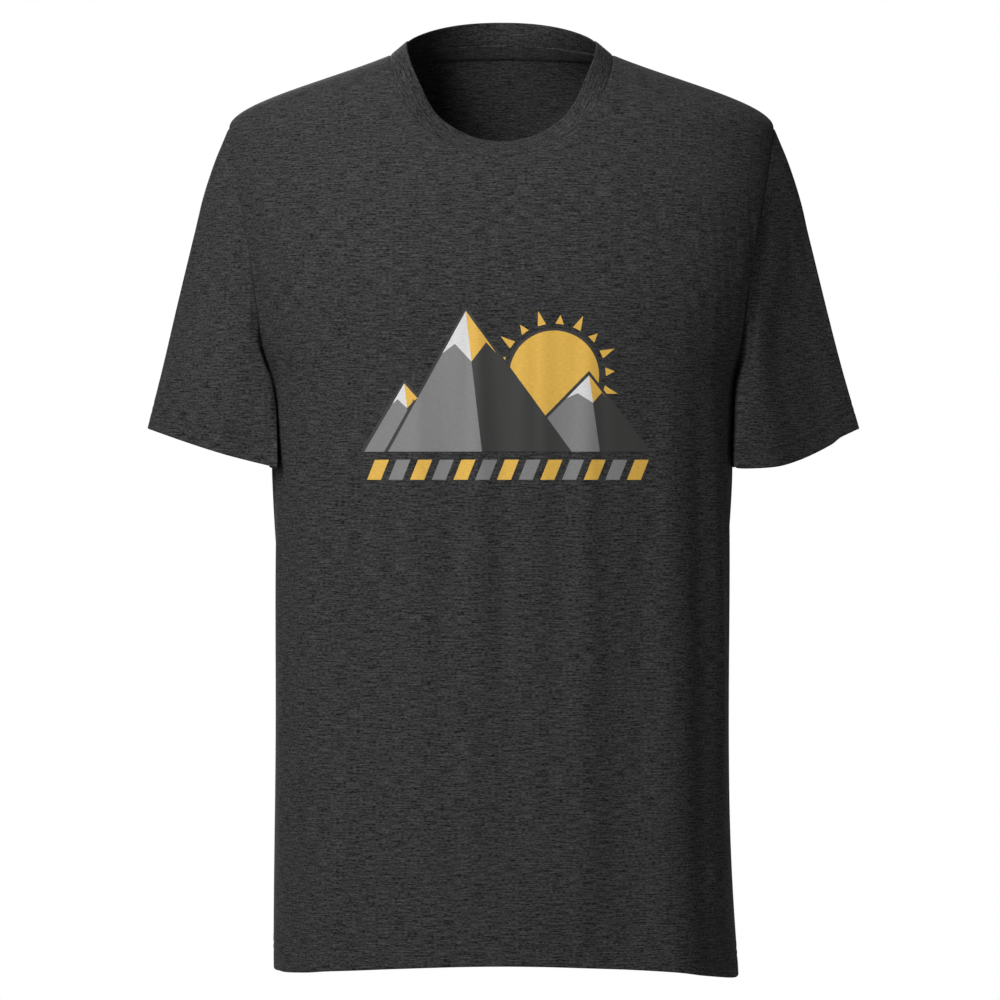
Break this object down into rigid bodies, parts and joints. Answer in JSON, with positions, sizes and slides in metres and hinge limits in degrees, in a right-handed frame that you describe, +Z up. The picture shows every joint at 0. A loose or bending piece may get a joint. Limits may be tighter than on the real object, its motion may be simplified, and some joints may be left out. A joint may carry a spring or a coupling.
{
  "type": "short-sleeve t-shirt",
  "caption": "Crew-neck T-shirt in heather jersey with set-in short sleeves, rib collar, hemmed edges and a chest print, held in its worn shape.",
  "frame": {"origin": "midway between the two high shoulder points, where the shoulder seams meet the collar and the wearer's shoulders carry the cloth", "axes": "front faces -Y, the wearer's left is +X, +Z up along the body"},
  "size_m": [0.543, 0.2357, 0.7249],
  "materials": {
    "jersey": "dark grey heather single jersey, matt",
    "rib": "dark grey heather rib knit, matt",
    "tape": "self-coloured seam tape, matt",
    "thread": "matching sewing thread",
    "print_yellow": "matt screen-print ink",
    "print_grey": "matt screen-print ink",
    "print_black": "matt screen-print ink",
    "print_white": "matt screen-print ink"
  },
  "bodies": {
    "root": {"front_panel": "jersey", "back_panel": "jersey", "left_sleeve": "jersey", "right_sleeve": "jersey", "collar_band": "rib", "neck_tape": "tape", "left_shoulder_tape": "tape", "right_shoulder_tape": "tape"}
  },
  "joints": []
}
